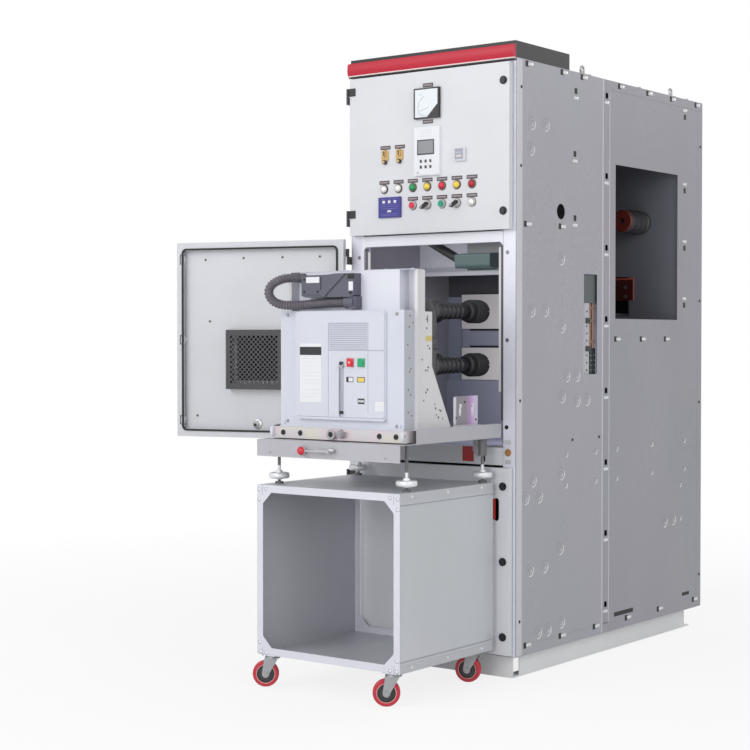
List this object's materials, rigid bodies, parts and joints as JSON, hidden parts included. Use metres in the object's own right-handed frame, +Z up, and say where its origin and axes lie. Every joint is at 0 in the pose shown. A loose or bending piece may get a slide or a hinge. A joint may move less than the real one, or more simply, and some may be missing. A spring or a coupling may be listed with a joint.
{
  "type": "high voltage switchgear cabinet",
  "caption": "Tall metal-clad switchgear cabinet with hinged front doors and a withdrawable vacuum breaker drawn out on a wheeled service trolley.",
  "frame": {"origin": "centre of the cabinet's footprint on the floor", "axes": "+Z up, the front with the doors faces -Y, +X to the right when facing the front"},
  "size_m": [1.5437, 2.2809, 2.454],
  "materials": {
    "base_paint": "satin grey paint",
    "door_paint": "light grey powder coat",
    "white_paint": "white powder coat",
    "post_sheet": "aluzinc sheet",
    "wall_sheet": "spangled galvanised sheet",
    "inner_sheet": "dark inner sheet in shadow grey",
    "red_paint": "red paint",
    "black_sheet": "black paint",
    "zinc": "zinc plated",
    "insulator_red": "cast epoxy resin",
    "copper": "copper bar",
    "socket_green": "translucent green cover",
    "window_dark": "dark window",
    "wheel_red": "red polyurethane",
    "knob_white": "white handwheels",
    "meter_black": "instrument housings",
    "lamp": "indicator lenses",
    "switch": "switches and push buttons",
    "gasket": "black rubber",
    "mesh": "black perforated sheet",
    "truck_zinc": "iridescent zinc plate",
    "housing_paint": "pale blue-white powder coat",
    "cover_plastic": "moulded pale cover",
    "pole_resin": "dark cast poles",
    "arm_resin": "grey shrouded arms",
    "tulip": "black contact cages",
    "plug_grey": "grey connector housing",
    "hose_grey": "corrugated conduit"
  },
  "bodies": {
    "cabinet": {"base_channels": "base_paint", "floor_plate": "wall_sheet", "left_side_wall": "wall_sheet", "right_wall_front": "wall_sheet", "right_wall_rear": "wall_sheet", "front_posts": "post_sheet", "header_beam": "white_paint", "sill_panel": "door_paint", "roof_plates": "wall_sheet", "lifting_eyes": "zinc", "bus_wire_duct": "black_sheet", "fascia": "red_paint", "rear_covers": "wall_sheet", "instrument_shell": "white_paint", "compartment_floor": "inner_sheet", "contact_partition": "inner_sheet", "contact_spouts": "insulator_red", "shutters": "white_paint", "slide_rails": "zinc", "control_socket": "socket_green", "socket_conduit": "hose_grey", "bus_compartment_sheets": "inner_sheet", "busbars": "copper", "bus_bushings": "insulator_red", "cable_door": "door_paint", "cable_door_window": "window_dark", "trolley_panels": "zinc", "trolley_frame": "white_paint", "lift_tray": "white_paint", "jack_screws": "knob_white"},
    "instrument_door_leaf": {"instrument_door": "door_paint", "panel_meters": "meter_black", "indicator_lamps": "lamp", "control_switches": "switch"},
    "breaker_door_leaf": {"breaker_door": "door_paint", "door_gasket": "gasket", "mesh_guard": "mesh"},
    "breaker": {"truck": "truck_zinc", "mechanism_housing": "housing_paint", "front_cover": "cover_plastic", "side_plates": "white_paint", "breaker_poles": "pole_resin", "contact_arms": "arm_resin", "tulip_contacts": "tulip", "ring_springs": "zinc", "plug_box": "housing_paint", "control_plug": "plug_grey", "control_hose": "hose_grey"},
    "caster_1": {"caster_fork_1": "zinc"},
    "wheel_1": {"caster_wheel_1": "wheel_red"},
    "caster_2": {"caster_fork_2": "zinc"},
    "wheel_2": {"caster_wheel_2": "wheel_red"},
    "caster_3": {"caster_fork_3": "zinc"},
    "wheel_3": {"caster_wheel_3": "wheel_red"},
    "caster_4": {"caster_fork_4": "zinc"},
    "wheel_4": {"caster_wheel_4": "wheel_red"}
  },
  "joints": [
    {"name": "instrument_door_hinge", "type": "hinge", "parent": "cabinet", "child": "instrument_door_leaf", "pos_m": [-0.393, -0.823, 2.05], "axis": [0, 0, -1], "range_deg": [0, 120]},
    {"name": "breaker_door_hinge", "type": "hinge", "parent": "cabinet", "child": "breaker_door_leaf", "pos_m": [-0.393, -0.823, 1.31], "axis": [0, 0, -1], "range_deg": [-70, 15]},
    {"name": "breaker_slide", "type": "slide", "parent": "cabinet", "child": "breaker", "axis": [0, 1, 0], "range_m": [0, 0.62]},
    {"name": "caster_swivel_1", "type": "hinge", "parent": "cabinet", "child": "caster_1", "pos_m": [-0.285, -1.42, 0.12], "axis": [0, 0, 1], "continuous": true},
    {"name": "wheel_spin_1", "type": "hinge", "parent": "caster_1", "child": "wheel_1", "pos_m": [-0.30736, -1.43685, 0.05], "axis": [0.6018, -0.7986, 0], "continuous": true},
    {"name": "caster_swivel_2", "type": "hinge", "parent": "cabinet", "child": "caster_2", "pos_m": [0.285, -1.42, 0.12], "axis": [0, 0, 1], "continuous": true},
    {"name": "wheel_spin_2", "type": "hinge", "parent": "caster_2", "child": "wheel_2", "pos_m": [0.26264, -1.43685, 0.05], "axis": [0.6018, -0.7986, 0], "continuous": true},
    {"name": "caster_swivel_3", "type": "hinge", "parent": "cabinet", "child": "caster_3", "pos_m": [0.285, -0.898, 0.12], "axis": [0, 0, 1], "continuous": true},
    {"name": "wheel_spin_3", "type": "hinge", "parent": "caster_3", "child": "wheel_3", "pos_m": [0.25822, -0.90619, 0.05], "axis": [0.2924, -0.9563, 0], "continuous": true},
    {"name": "caster_swivel_4", "type": "hinge", "parent": "cabinet", "child": "caster_4", "pos_m": [-0.285, -0.898, 0.12], "axis": [0, 0, 1], "continuous": true},
    {"name": "wheel_spin_4", "type": "hinge", "parent": "caster_4", "child": "wheel_4", "pos_m": [-0.30374, -0.91881, 0.05], "axis": [0.7431, -0.6691, 0], "continuous": true}
  ]
}
